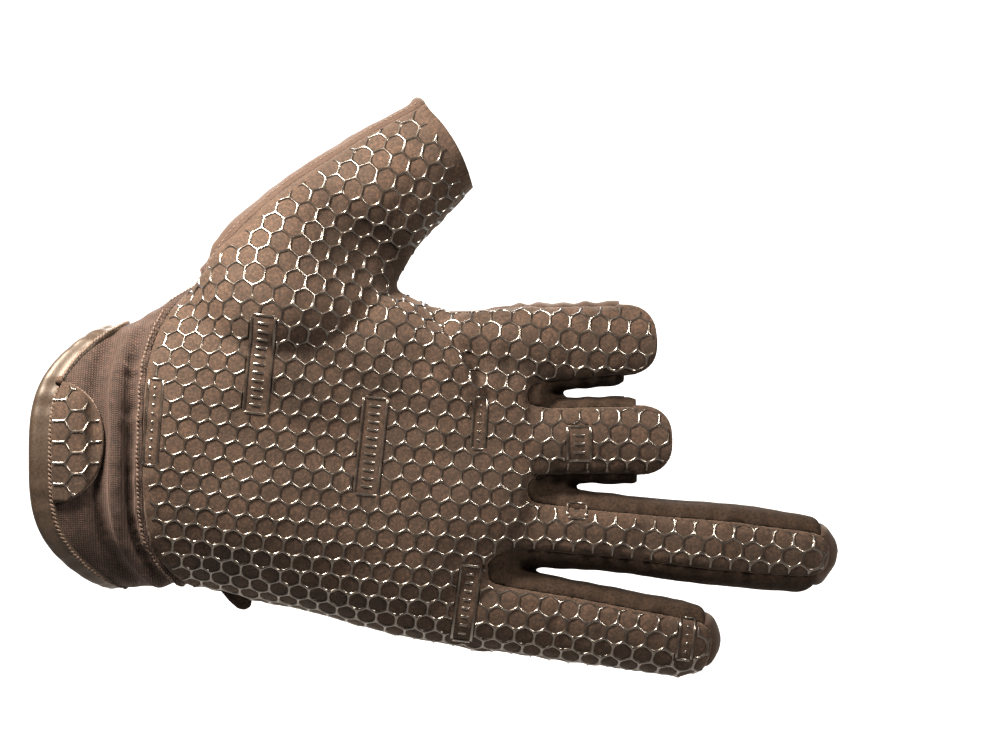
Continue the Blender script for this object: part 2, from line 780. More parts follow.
def cut_panels(form):
    """Cuts the form along its seams, sinks the seams and gives each panel its own mesh."""
    bm = bmesh.new()
    bm.from_mesh(form.data)
    bmesh.ops.triangulate(bm, faces=bm.faces[:])
    edge = BINDING_WIDTH - TUCK
    cut_along(bm, mouth_measure, edge)
    delete_faces(bm, lambda c: mouth_measure(c) < edge)
    cut_along(bm, lambda p: past_end("thumb", p), 0.0, lambda p: p[:, 2] > THUMB_SIDE)
    delete_faces(bm, lambda c: past_end("thumb", c) > 0)
    for level in WRIST_CUTS:
        cut_along(bm, wrist_measure, level)
    for level in PALM_CUTS:
        cut_along(bm, palm_measure, level, off_wrist)
    for pair in STRIP_PAIRS:
        cut_along(bm, lambda p, k=pair: strip_measure(k, p), 0.0, off_palm)
    for name in ("index", "middle"):
        cut_along(bm, lambda p, k=name: past_end(k, p, TONGUE), 0.0, off_palm)
        delete_faces(bm, lambda c, k=name: (past_end(k, c, TONGUE) > 0) & (palm_measure(c) > 0))
    delete_faces(bm, lambda c: (past_end("index", c, 1.0) > 0) & (palm_measure(c) > 0))
    drop_loose(bm)
    bm.normal_update()
    numbers = panel_of(middles_of(bm))
    distance = seam_distance(places_of(bm))
    groove = seam_groove(distance)
    layer = bm.verts.layers.float.new("seam")
    for vert, depth, gap in zip(bm.verts, groove, distance):
        vert[layer] = gap
        vert.co -= vert.normal * float(depth) * MM
    pieces = []
    for i, (name, _, _) in enumerate(PANELS):
        part = bm.copy()
        doomed = [f for f, n in zip(list(part.faces), numbers) if n != i]
        bmesh.ops.delete(part, geom=doomed, context="FACES")
        mesh = bpy.data.meshes.new(name)
        part.to_mesh(mesh)
        part.free()
        pieces.append(new_object(name, mesh))
    bm.free()
    return pieces


# The hexagon grip print

HEX_PITCH = 5.3
# How the rows of cells are turned on the palm and at the end of the thumb, in degrees
PRINT_ANGLE = -7.0
THUMB_PRINT_ANGLE = -28.0
# The rows' lean on the fingers, from the little finger to the index finger: height, degrees
FINGER_LEANS = [(-58, -9.4), (-28, -5.8), (-8, 0), (16, 2), (40, 3.2)]
# The flattening: its rounds, and the most steps that its first solving and each round may take
SPREAD_ROUNDS = 9
FIRST_STEPS, ROUND_STEPS = 900, 250
# A face of the print that the flattening has torn wider than this is left out
LARGEST_FACE = 2.6
# How far the print stops short of the open ends and of the wrist seam
PRINT_ENDS = [("thumb", 3.0), ("index", 1.0), ("middle", 1.0)]
WRIST_MARGIN = 1.6
# Its margin at the palm's seams, and what is added beside the ball of the thumb
SEAM_MARGIN = 0.9
BALL_MARGIN = 1.4


def print_direction(points):
    """The angle of the print's rows: level on the palm, turning along the thumb."""
    thumb = FINGERS["thumb"]
    x0, z0, _ = finger_line(thumb, 0.0)
    x1, z1, _ = finger_line(thumb, 1.0)
    share = ((points[:, 0] - x0) * (x1 - x0) + (points[:, 2] - z0) * (z1 - z0)) / thumb["length"] ** 2
    inside = smooth(points[:, 2], 18, 62)
    turn = np.clip((share + 0.3) / 1.25, 0, 1) * inside
    angle = mix(PRINT_ANGLE, THUMB_PRINT_ANGLE, turn)
    fingers = smooth(points[:, 0], 108, 128)
    lean = np.interp(points[:, 2], *zip(*FINGER_LEANS))
    return np.radians(mix(angle, mix(angle, lean - 2.0, 0.7), fingers))


def spread_flat(points, triangles):
    """Lays a surface out flat, as near to its true lengths as it goes, with its rows along the
    print's direction. Each round finds how every triangle is turned and then solves for the places
    that fit those turns best, by conjugate gradients."""
    a, b, c = (points[triangles[:, i]] for i in range(3))
    normal = np.cross(b - a, c - a)
    double = np.linalg.norm(normal, axis=1)
    good = double > 1e-6
    triangles, a, b, c, normal, double = (v[good] for v in (triangles, a, b, c, normal, double))
    normal = normal / double[:, None]
    angle = print_direction((a + b + c) / 3)
    ahead = np.stack([np.cos(angle), 0 * angle, np.sin(angle)], axis=1)
    ahead -= normal * np.sum(ahead * normal, axis=1)[:, None]
    ahead /= np.maximum(np.linalg.norm(ahead, axis=1), 1e-6)[:, None]
    sideways = np.cross(normal, ahead)
    slopes = [np.cross(normal, e) / double[:, None] for e in (c - b, a - c, b - a)]
    count = len(points)
    own = np.arange(count)
    rows, columns, weights = [own], [own], [np.full(count, 1e-7)]
    for i in range(3):
        for j in range(3):
            rows.append(triangles[:, i])
            columns.append(triangles[:, j])
            weights.append(np.sum(slopes[i] * slopes[j], axis=1) * double / 2)
    rows, columns, weights = (np.concatenate(v) for v in (rows, columns, weights))
    pairs, place = np.unique(rows * count + columns, return_inverse=True)
    weights = np.bincount(place, weights)
    rows, columns = pairs // count, pairs % count
    starts = np.searchsorted(rows, own)
    diagonal = weights[rows == columns]

    def settle(field, value, steps):
        target = np.zeros(count)
        for i in range(3):
            share = np.sum(slopes[i] * field, axis=1) * double / 2
            target += np.bincount(triangles[:, i], share, count)
        rest = target - np.add.reduceat(weights * value[columns], starts)
        step = rest / diagonal
        search = step.copy()
        strength = rest @ step
        for _ in range(steps):
            image = np.add.reduceat(weights * search[columns], starts)
            size = strength / (search @ image)
            value = value + size * search
            rest -= size * image
            if np.max(np.abs(rest)) < 1e-5:
                break
            step = rest / diagonal
            fresh = rest @ step
            search = step + (fresh / strength) * search
            strength = fresh
        return value

    mean = math.radians(PRINT_ANGLE)
    u = points[:, 0] * math.cos(mean) + points[:, 2] * math.sin(mean)
    v = -points[:, 0] * math.sin(mean) + points[:, 2] * math.cos(mean)
    u, v = settle(ahead, u, FIRST_STEPS), settle(sideways, v, FIRST_STEPS)
    facing = np.clip(-normal[:, 1], 0, 1) ** 6
    for _ in range(SPREAD_ROUNDS):
        lead = sum(slopes[i] * u[triangles[:, i]][:, None] for i in range(3))
        rise = sum(slopes[i] * v[triangles[:, i]][:, None] for i in range(3))
        off = np.sum(lead * sideways, axis=1) - np.sum(rise * ahead, axis=1)
        turn = np.arctan2(off, np.sum(lead * ahead, axis=1) + np.sum(rise * sideways, axis=1))
        turn = turn * (1 - 0.3 * facing)
        cosine, sine = np.cos(turn)[:, None], np.sin(turn)[:, None]
        u = settle(ahead * cosine + sideways * sine, u, ROUND_STEPS)
        v = settle(sideways * cosine - ahead * sine, v, ROUND_STEPS)
    return np.stack([u, v], axis=1)


def palm_cloth(form):
    """The palm side of the form a little past its seams, as points, normals and triangles."""
    bm = bmesh.new()
    bm.from_mesh(form.data)
    delete_faces(bm, lambda c: (palm_measure(c) > 3.0) | (wrist_measure(c) < -3.0))
    delete_faces(bm, lambda c: (past_end("thumb", c) > 2.0) | (past_end("index", c, -4.0) > 0)
                 | (past_end("middle", c, -4.0) > 0))
    bmesh.ops.triangulate(bm, faces=bm.faces[:])
    drop_loose(bm)
    bm.verts.index_update()
    points = places_of(bm)
    normals = np.array([v.normal for v in bm.verts], float)
    triangles = np.array([[v.index for v in f.verts] for f in bm.faces], int)
    bm.free()
    return points, normals, triangles


# Bare label places on the palm: middle x, z, length along x, height, turn in degrees
LABELS = [
    (51.3, 24.5, 7.6, 27.0, -6),
    (23.2, 9.4, 5.2, 24.0, -4),
    (80.0, 3.0, 7.6, 27.0, -6),
    (108.5, 9.0, 5.0, 15.0, -4),
    (135.0, 3.5, 7.6, 10.6, 0),
    (134.5, -14.2, 6.4, 5.4, -6),
    (163.5, -48.5, 5.4, 12.6, -8),
    (105.0, -39.0, 6.6, 22.0, -8),
]


def label_measure(points):
    nearest = np.full(len(points), FAR)
    for x, z, width, height, turn in LABELS:
        c, s = math.cos(math.radians(turn)), math.sin(math.radians(turn))
        dx, dz = points[:, 0] - x, points[:, 2] - z
        u, v = np.abs(dx * c + dz * s) - width / 2, np.abs(-dx * s + dz * c) - height / 2
        outside = np.hypot(np.maximum(u, 0), np.maximum(v, 0)) + np.minimum(np.maximum(u, v), 0)
        nearest = np.minimum(nearest, np.where(points[:, 1] < 2, outside, FAR))
    return nearest


# The line of a label in section: distance from its middle and height over the cloth, its foot sunk in
LABEL_FOOT = -0.15
LABEL_LINE = [(-0.42, LABEL_FOOT), (-0.26, 0.3), (0.26, 0.3), (0.42, LABEL_FOOT)]


def label_lines(width, height):
    """A frame with plain bars across it: ends of each line, in the label's own plane."""
    a, b = width / 2 - 0.7, height / 2 - 0.7
    lines = [((-a, -b), (-a, b)), ((a, -b), (a, b)), ((-a, -b), (a, -b)), ((-a, b), (a, b))]
    count = max(int(2 * b / 2.1), 2)
    for i in range(1, count):
        v = mix(-b, b, i / count)
        lines.append(((-a + 1.3, v), (a - 1.3, v)))
    return lines


def label_print(tree):
    """The raised frames and bars in the palm's label places."""
    vertices, faces = [], []
    for middle_x, middle_z, width, height, turn in LABELS:
        c, s = math.cos(math.radians(turn)), math.sin(math.radians(turn))
        for start, end in label_lines(width, height):
            run = np.array(end) - np.array(start)
            length = np.hypot(*run)
            run = run / length
            count = max(int(length / 0.8), 2)
            base = len(vertices)
            for i in range(count + 1):
                spot = np.array(start) + run * length * i / count
                for off, rise in LABEL_LINE:
                    u, v = spot[0] - run[1] * off, spot[1] + run[0] * off
                    x, z = middle_x + u * c - v * s, middle_z + u * s + v * c
                    y = float(front_of(tree, [x], [z])[0]) - (LABEL_FOOT if i in (0, count) else rise)
                    vertices.append((x * MM, y * MM, z * MM))
            for i in range(count):
                for k in range(len(LABEL_LINE) - 1):
                    a = base + i * len(LABEL_LINE) + k
                    faces.append((a, a + 1, a + 1 + len(LABEL_LINE), a + len(LABEL_LINE)))
    piece = mesh_piece("glove_label_print", vertices, faces)
    face_the_palm(piece)
    return piece


# The print's line in section: distance inwards from its crest, height, and how much a corner is rounded
PRINT_LINE = [(0.0, 0.38, 0.0), (0.15, 0.33, 0.02), (0.3, 0.16, 0.05), (0.4, -0.12, 0.07)]


def hexagon_ring(pitch, turn):
    """One cell of the print: rows of points from the crest of its line down to its foot, each with
    its height."""
    found = []
    for inset, height, rounding in PRINT_LINE:
        apothem = pitch / 2 - inset
        ring = []
        for k in range(6):
            for share in (0, 1 / 3, 2 / 3):
                first = math.radians(turn + 30 + 60 * k)
                second = first + math.pi / 3
                radius = apothem / math.cos(math.pi / 6)
                x = mix(radius * math.cos(first), radius * math.cos(second), share)
                z = mix(radius * math.sin(first), radius * math.sin(second), share)
                pull = 1 - (rounding if share == 0 else 0)
                ring.append((x * pull, z * pull, height))
        found.append(ring)
    return np.array(found)


def hexagon_cells(low, high, pitch, turn=0.0):
    """Middles of the cells over a box in the cloth's own plane."""
    c, s = math.cos(math.radians(turn)), math.sin(math.radians(turn))
    middle = (np.array(low) + np.array(high)) / 2
    reach = np.linalg.norm(np.array(high) - np.array(low)) / 2 + pitch
    count = int(reach / (pitch * 0.86)) + 1
    cells = []
    for j in range(-count, count + 1):
        for i in range(-count, count + 1):
            u = (i + 0.5 * (j % 2)) * pitch
            v = j * pitch * math.sqrt(3) / 2
            x, z = middle[0] + u * c - v * s, middle[1] + u * s + v * c
            if low[0] - pitch < x < high[0] + pitch and low[1] - pitch < z < high[1] + pitch:
                cells.append((x, z))
    return np.array(cells)


def print_mesh(name, cells, ring, lay):
    """Joins the cells' rings into one mesh; lay(flat points, heights) gives their places and says
    which of them lie on the cloth."""
    levels, sides = ring.shape[:2]
    flat = cells[:, None, None, :] + ring[None, :, :, :2]
    heights = np.broadcast_to(ring[None, :, :, 2], flat.shape[:3])
    points, on_cloth = lay(flat.reshape(-1, 2), heights.reshape(-1))
    faces = []
    per_cell = levels * sides
    for cell in range(len(cells)):
        base = cell * per_cell
        for level in range(levels - 1):
            for k in range(sides):
                n = (k + 1) % sides
                a, b = base + level * sides + k, base + level * sides + n
                c, d = b + sides, a + sides
                if on_cloth[a] and on_cloth[b] and on_cloth[c] and on_cloth[d]:
                    reach = points[[a, b, c, d]].max(axis=0) - points[[a, b, c, d]].min(axis=0)
                    if reach.max() < LARGEST_FACE:
                        faces.append((a, d, c, b))
    used = np.unique(faces)
    place = np.zeros(len(points), int)
    place[used] = np.arange(len(used))
    return mesh_piece(name, [tuple(p) for p in points[used] * MM], place[np.array(faces)].tolist())


def cross(first, second):
    return first[:, 0] * second[:, 1] - second[:, 0] * first[:, 1]


def palm_print(form):
    """The raised cells over the palm: laid on the flattened cloth, lifted back and cut at their edges."""
    points, normals, triangles = palm_cloth(form)
    flat = spread_flat(points, triangles)
    tree = BVHTree.FromPolygons([(u, v, 0) for u, v in flat], triangles.tolist())

    def lay(spots, heights):
        faces = np.full(len(spots), -1)
        for i, (u, v) in enumerate(spots):
            hit = tree.ray_cast((u, v, 1), (0, 0, -1))
            if hit[2] is not None:
                faces[i] = hit[2]
        on_cloth = faces >= 0
        corner = triangles[np.maximum(faces, 0)]
        a, b, c = (flat[corner[:, i]] for i in range(3))
        whole = cross(b - a, c - a)
        whole = np.where(np.abs(whole) < 1e-9, 1e-9, whole)
        second = cross(spots - a, c - a) / whole
        third = cross(b - a, spots - a) / whole
        first = 1 - second - third
        shares = np.clip(np.stack([first, second, third], axis=1), -0.2, 1.2)
        places = np.einsum("ij,ijk->ik", shares, points[corner])
        out = np.einsum("ij,ijk->ik", shares, normals[corner])
        out /= np.maximum(np.linalg.norm(out, axis=1), 1e-6)[:, None]
        sunk = seam_groove(seam_distance(places))
        return places + out * (heights - sunk)[:, None], on_cloth

    cells = hexagon_cells(flat.min(0), flat.max(0), HEX_PITCH)
    piece = print_mesh("glove_palm_print", cells, hexagon_ring(HEX_PITCH, 0.0), lay)
    bm = bmesh.new()
    bm.from_mesh(piece.data)
    bmesh.ops.remove_doubles(bm, verts=bm.verts[:], dist=MERGE)

    def bare(p):
        rims = [past_end(name, p, short) for name, short in PRINT_ENDS]
        by_ball = smooth(p[:, 2], 30, 45) * (1 - smooth(p[:, 0], 60, 80))
        margin = SEAM_MARGIN + BALL_MARGIN * by_ball
        edges = [palm_measure(p) + margin, WRIST_MARGIN - wrist_measure(p), -label_measure(p)]
        return np.maximum.reduce(edges + rims)

    cut_along(bm, bare, 0.0)
    delete_faces(bm, lambda c: bare(c) > 0)
    drop_loose(bm)
    bm.to_mesh(piece.data)
    bm.free()
    return piece


# The cuff's binding, the pull tab and the strap end

# The folded tape in section: distance from the rim along the glove, and height over the cloth
BINDING_SECTION = [
    (6.3, -0.1), (6.0, 0.45), (5.0, 0.62), (3.8, 0.5), (2.4, 1.0), (1.1, 1.05), (0.2, 0.5),
    (-0.3, -0.3), (-0.3, -1.0), (0.1, -1.7), (1.2, -2.0), (2.8, -2.1), (4.4, -2.1), (5.6, -1.9),
    (6.2, -1.5), (6.4, -0.8),
]


def rim_station(across, deep):
    """Where the rim of the opening lies round the wrist, as x."""
    x = np.full(len(across), 5.0)
    for _ in range(6):
        place = body_point(x / PALM_LENGTH, across, deep)
        x = mouth(place[:, 2], place[:, 1])
    return x


def cuff_binding():
    """The folded tape: a ring shaped to its section and laid along the rim."""
    deselect_all()
    sides = len(BINDING_SECTION)
    bpy.ops.mesh.primitive_torus_add(
        major_segments=260, minor_segments=sides, major_radius=1, minor_radius=0.25)
    piece = bpy.context.object
    piece.name = "glove_cuff_binding"
    raw = points_of(piece) * MM
    turn = np.arctan2(raw[:, 1], raw[:, 0])
    small = np.arctan2(raw[:, 2], np.hypot(raw[:, 0], raw[:, 1]) - 1)
    step = np.round(small / (2 * math.pi / sides)).astype(int) % sides
    section = np.array(BINDING_SECTION)[step]
    across, deep = np.cos(turn), np.sin(turn)
    rim = rim_station(across, deep)
    wander = 0.12 * np.sin(turn * 37) * np.sin(turn * 5 + 1) + 0.1 * np.sin(turn * 11)
    out = section[:, 1] + np.where(section[:, 1] > 0, wander, 0)
    x = rim + section[:, 0]
    put_points(piece, body_point(x / PALM_LENGTH, across, deep, out))
    bpy.ops.object.mode_set(mode="EDIT")
    face_outwards()
    apply_modifier(piece, "SUBSURF", levels=1, render_levels=1)
    return piece


def tab_edge(z):
    """How far the half-round tab reaches at a height, from its straight side."""
    share = np.clip(np.abs(z) / (TAB_HEIGHT * 0.5), 0, 1)
    return TAB_REACH * np.sqrt(np.maximum(1 - share ** 2.1, 0)) ** 0.95


TAB_MIDDLE = WRIST_WIDTH * 0.062
TAB_LIFT = 1.15
TAB_PITCH = 5.5
# The depth of the rim's middle on the palm side
RIM_FRONT = -16.0


def tab_start():
    """Where the tab's straight side lies, just under the binding's edge, as x."""
    rim = mouth(np.array([TAB_MIDDLE]), np.array([-WRIST_DEPTH / 2]))
    return float(rim[0]) + BINDING_WIDTH - 0.5


def tab_height(reach, z, edge):
    """The tab's upper side over the knit: rounded at its edge, and lifted a little at its curved end."""
    gap = np.minimum(np.minimum(edge - reach, reach + 0.6), (TAB_HEIGHT * 0.5 - np.abs(z)) * 0.8)
    rounded = np.sqrt(np.clip(1 - (1 - np.clip(gap / 0.9, 0, 1)) ** 2, 0, 1))
    return 0.35 + TAB_LIFT * rounded + 0.5 * smooth(reach, 3, TAB_REACH)


def wrist_front(tree, x, z):
    """The wrist cloth's palm side at a place, or at its edge where the place lies past it."""
    edge = mouth(z, np.full(len(z), RIM_FRONT)) + BINDING_WIDTH - 1.1
    return front_of(tree, np.maximum(x, edge), z)


def pull_tab(tree):
    """The half-round tab: a grid laid on the knit and given its thickness."""
    deselect_all()
    bpy.ops.mesh.primitive_grid_add(x_subdivisions=36, y_subdivisions=72, size=2)
    piece = bpy.context.object
    piece.name = "glove_pull_tab"
    raw = points_of(piece) * MM
    z = np.sin(raw[:, 1] * math.pi / 2 * 0.98) * TAB_HEIGHT * 0.5
    edge = tab_edge(z)
    reach = (raw[:, 0] + 1) / 2 * edge
    start = tab_start()
    rim = mouth(z + TAB_MIDDLE, np.full(len(z), RIM_FRONT))
    lean = np.maximum(rim + BINDING_WIDTH - 0.6 - start, 0)
    x = start + lean * (1 - reach / np.maximum(edge, 0.1)) + reach
    y = wrist_front(tree, x, z + TAB_MIDDLE) - tab_height(reach, z, edge)
    put_points(piece, np.stack([x, y, z + TAB_MIDDLE], axis=-1))
    bpy.ops.object.mode_set(mode="EDIT")
    bpy.ops.mesh.select_all(action="SELECT")
    bpy.ops.mesh.remove_doubles(threshold=MERGE)
    bpy.ops.object.mode_set(mode="OBJECT")
    face_the_palm(piece)
    apply_modifier(piece, "SOLIDIFY", thickness=TAB_LIFT * MM, offset=-1)
    return piece


def tab_print(tree):
    start = tab_start()

    def lay(spots, heights):
        x, z = spots[:, 0], spots[:, 1]
        reach, side = x - start, z - TAB_MIDDLE
        edge = tab_edge(side)
        inside = (reach > 0.3) & (reach < edge - 0.4) & (np.abs(side) < TAB_HEIGHT * 0.5 - 1.2)
        y = wrist_front(tree, x, z) - tab_height(np.maximum(reach, 0), side, edge) - heights
        return np.stack([x, y, z], axis=-1), inside

    low, high = (start, TAB_MIDDLE - TAB_HEIGHT / 2), (start + TAB_REACH, TAB_MIDDLE + TAB_HEIGHT / 2)
    cells = hexagon_cells(low, high, TAB_PITCH, 30.0)
    return print_mesh("glove_tab_print", cells, hexagon_ring(TAB_PITCH, 30.0), lay)


# The strap's corner under the little finger's side of the wrist, seen from the palm side: x, z
STRAP_OUTLINE = [
    (30.0, -31.0), (33.5, -32.4), (37.0, -33.6), (39.5, -36.4), (41.6, -38.9), (43.8, -41.0),
    (45.6, -41.4), (47.2, -40.4), (47.6, -38.2), (47.4, -35.0), (47.2, -31.5),
]
# The front of its cloth along y, and its thickness
STRAP_FRONT = -2.6
STRAP_THICK = 2.2


def strap_end():
    """A small folded corner of strap: an outline filled, drawn out into a wall and rounded."""
    corners = [(x * MM, STRAP_FRONT * MM, z * MM) for x, z in STRAP_OUTLINE]
    piece = mesh_piece("glove_strap_end", corners, [tuple(range(len(corners)))])
    select_only(piece)
    bpy.ops.object.mode_set(mode="EDIT")
    bpy.ops.mesh.select_all(action="SELECT")
    bpy.ops.mesh.extrude_region_move(TRANSFORM_OT_translate={"value": (0, STRAP_THICK * MM, 0)})
    face_outwards()
    apply_modifier(piece, "BEVEL", width=0.5 * MM, segments=3, limit_method="ANGLE")
    apply_modifier(piece, "REMESH", mode="VOXEL", voxel_size=0.35 * MM, use_smooth_shade=True)
    apply_modifier(piece, "SMOOTH", factor=0.5, iterations=4)
    points = points_of(piece)
    curl = smooth(-points[:, 2], 33, 42)
    points[:, 1] += 1.6 * curl * np.sin(points[:, 0] * 0.45) - 0.8 * curl
    put_points(piece, points)
    return piece


# Sewing

def even_line(line, pitch):
    """Points at an even pitch along a line."""
    steps = np.linalg.norm(np.diff(line, axis=0), axis=1)
    along = np.concatenate([[0], np.cumsum(steps)])
    count = max(int(along[-1] / pitch), 2)
    stops = np.linspace(0, along[-1], count)
    return np.stack([np.interp(stops, along, line[:, i]) for i in range(3)], axis=1)


def sew(name, line, tree, pitch, length, radius, lift, slant):
    """A row of stitches on a surface: one small rounded stitch, copied along the line."""
    deselect_all()
    bpy.ops.mesh.primitive_uv_sphere_add(segments=8, ring_count=6, radius=1)
    stitch = bpy.context.object
    shape = points_of(stitch) * MM
    faces = [tuple(polygon.vertices) for polygon in stitch.data.polygons]
    bpy.data.objects.remove(stitch)
    shape = np.stack([shape[:, 2] * length / 2, shape[:, 0] * radius, shape[:, 1] * radius], axis=1)
    centres = even_line(line, pitch)
    vertices, polygons = [], []
    for i, centre in enumerate(centres):
        spot, normal, _, _ = tree.find_nearest(Vector(centre))
        ahead = Vector(centres[min(i + 1, len(centres) - 1)] - centres[max(i - 1, 0)])
        ahead = (ahead - normal * ahead.dot(normal)).normalized()
        side = normal.cross(ahead)
        run = ahead * math.cos(slant) + side * math.sin(slant)
        wide = normal.cross(run)
        base = len(vertices)
        for a, b, c in shape:
            vertices.append(tuple((spot + run * a + wide * b + normal * (c + lift)) * MM))
        polygons += [tuple(base + v for v in face) for face in faces]
    piece = mesh_piece(name, vertices, polygons)
    select_only(piece)
    bpy.ops.object.mode_set(mode="EDIT")
    face_outwards()
    return piece


AROUND = np.linspace(0, 2 * math.pi, 400)


def wrist_line(away):
    """A line round the wrist, at a distance from its seam."""
    across, deep = np.cos(AROUND), np.sin(AROUND)
    x = np.full(len(AROUND), 20.0)
    for _ in range(12):
        place = body_point(x / PALM_LENGTH, across, deep)
        x = mix(x, wrist_seam(place[:, 2], place[:, 1]) - away, 0.7)
    return body_point(x / PALM_LENGTH, across, deep)


def binding_line(inwards):
    """A line round the binding at a distance from the rim."""
    across, deep = np.cos(AROUND), np.sin(AROUND)
    x = rim_station(across, deep) + inwards
    return body_point(x / PALM_LENGTH, across, deep, 1.0)


def thumb_line(tree, extra, start, end):
    thumb = FINGERS["thumb"]
    spots = [beside(thumb, at, thumb["up"], extra) for at in np.linspace(start, end, 60)]
    x, z = np.array(spots).T
    return np.stack([x, front_of(tree, x, z), z], axis=1)


# Materials

def shader_of(made):
    return made.node_tree.nodes["Principled BSDF"]


def material(name, base, roughness, **settings):
    """A material with its shader, whose constant values are set on the shader's own sockets."""
    made = bpy.data.materials.new(name)
    made.use_nodes = True
    shader = shader_of(made)
    shader.inputs["Base Color"].default_value = (*base, 1)
    shader.inputs["Roughness"].default_value = roughness
    for key, value in settings.items():
        shader.inputs[key.replace("_", " ").title().replace("Ior", "IOR")].default_value = value
    return made


def node(made, kind, **settings):
    found = made.node_tree.nodes.new(kind)
    for key, value in settings.items():
        if key in found.inputs:
            found.inputs[key].default_value = value
        else:
            setattr(found, key, value)
    return found


def link(made, source, output, target, entry):
    made.node_tree.links.new(source.outputs[output], target.inputs[entry])


def ramp(made, source, output, stops):
    found = node(made, "ShaderNodeValToRGB")
    elements = found.color_ramp.elements
    elements[0].position, elements[0].color = stops[0][0], (*stops[0][1], 1)
    elements[1].position, elements[1].color = stops[-1][0], (*stops[-1][1], 1)
    for place, colour in stops[1:-1]:
        elements.new(place).color = (*colour, 1)
    link(made, source, output, found, "Fac")
    return found


def noise(made, scale, detail, roughness):
    """Fine noise in the piece's own space."""
    found = node(made, "ShaderNodeTexNoise", Scale=scale, Detail=detail, Roughness=roughness)
    link(made, node(made, "ShaderNodeTexCoord"), "Object", found, "Vector")
    return found


def colour_by(made, source, output, stops):
    link(made, ramp(made, source, output, stops), "Color", shader_of(made), "Base Color")


def raise_by(made, source, output, strength, distance):
    bump = node(made, "ShaderNodeBump", Strength=strength, Distance=distance)
    link(made, source, output, bump, "Height")
    link(made, bump, "Normal", shader_of(made), "Normal")


SUEDE_FIBRES = [
    (0.3, (0.0042, 0.0025, 0.0017)), (0.5, (0.0126, 0.0076, 0.0053)), (0.72, (0.0315, 0.019, 0.0133)),
]
SUEDE_PATCHES = [(0.35, (0.75, 0.74, 0.74)), (0.65, (1.15, 1.1, 1.06))]


def suede():
    made = material(
        "printed_suede", (0.021, 0.016, 0.0125), 0.85,
        sheen_weight=0.06, sheen_roughness=0.45, sheen_tint=(0.95, 0.8, 0.7, 1), specular_ior_level=0.2)
    nap = noise(made, 1400.0, 4.0, 0.65)
    patches = noise(made, 90.0, 3.0, 0.55)
    blend = node(made, "ShaderNodeMix", data_type="RGBA", blend_type="MULTIPLY")
    blend.inputs[0].default_value = 1.0
    link(made, ramp(made, nap, "Fac", SUEDE_FIBRES), "Color", blend, 6)
    link(made, ramp(made, patches, "Fac", SUEDE_PATCHES), "Color", blend, 7)
    link(made, blend, 2, shader_of(made), "Base Color")
    raise_by(made, nap, "Fac", 0.5, 0.00025)
    return made


def grip():
    made = material(
        "grip_print", (0.012, 0.009, 0.007), 0.26,
        coat_weight=0.5, coat_roughness=0.18, specular_ior_level=0.5)
    wear = noise(made, 420.0, 3.0, 0.6)
    colour_by(made, wear, "Fac", [(0.35, (0.005, 0.0035, 0.0027)), (0.7, (0.012, 0.0085, 0.0062))])
    rough = node(made, "ShaderNodeMapRange")
    rough.inputs["To Min"].default_value = 0.16
    rough.inputs["To Max"].default_value = 0.42
    link(made, wear, "Fac", rough, "Value")
    link(made, rough, "Result", shader_of(made), "Roughness")
    raise_by(made, wear, "Fac", 0.35, 0.0002)
    return made


# Plain cloths: dark and light colour, scale of the weave, roughness and sheen
CLOTHS = {
    "back_fabric": ((0.009, 0.0056, 0.0044), (0.024, 0.0148, 0.0115), 2600.0, 0.8, 0.06),
    "strip_fabric": ((0.0026, 0.0016, 0.0011), (0.0145, 0.009, 0.0063), 1400.0, 0.95, 0.0),
    "seam_thread": ((0.02, 0.0135, 0.011), (0.06, 0.042, 0.034), 3000.0, 0.5, 0.1),
    "lining": ((0.008, 0.006, 0.005), (0.02, 0.0155, 0.013), 1800.0, 0.95, 0.05),
}


def plain_cloth(name):
    dark, light, scale, roughness, sheen = CLOTHS[name]
    made = material(
        name, light, roughness, sheen_weight=sheen, sheen_roughness=0.5, specular_ior_level=0.12)
    weave = noise(made, scale, 3.0, 0.6)
    colour_by(made, weave, "Fac", [(0.3, dark), (0.7, light)])
    raise_by(made, weave, "Fac", 0.4, 0.0002)
    return made


# The knit's colours, from the hollows between its ribs up to their crests
KNIT_RIBS = [
    (0.35, (0.002, 0.0012, 0.001)), (0.62, (0.0074, 0.0042, 0.0035)), (1.0, (0.029, 0.0164, 0.0132)),
]


def wrist_knit():
    """A fine ribbed knit: rungs across and wales along, on the panel's own map in millimetres."""
    made = material(
        "wrist_knit", (0.03, 0.018, 0.015), 0.85,
        sheen_weight=0.08, sheen_roughness=0.45, sheen_tint=(0.95, 0.72, 0.68, 1), specular_ior_level=0.2)
    place = node(made, "ShaderNodeUVMap", uv_map="cloth")
    knots = node(made, "ShaderNodeMath", operation="MULTIPLY")
    for entry, direction, scale in ((0, "X", 0.56), (1, "Y", 0.52)):
        wave = node(made, "ShaderNodeTexWave", wave_type="BANDS", bands_direction=direction, Scale=scale,
                    Distortion=0.5, Detail=1.0)
        wave.inputs["Detail Scale"].default_value = 2.0
        link(made, place, "UV", wave, "Vector")
        link(made, wave, "Fac", knots, entry)
    blend = node(made, "ShaderNodeMath", operation="MULTIPLY_ADD")
    link(made, knots, 0, blend, 0)
    blend.inputs[1].default_value = 0.6
    link(made, noise(made, 700.0, 3.0, 0.6), "Fac", blend, 2)
    colour_by(made, blend, "Value", KNIT_RIBS)
    raise_by(made, knots, "Value", 0.6, 0.0003)
    return made


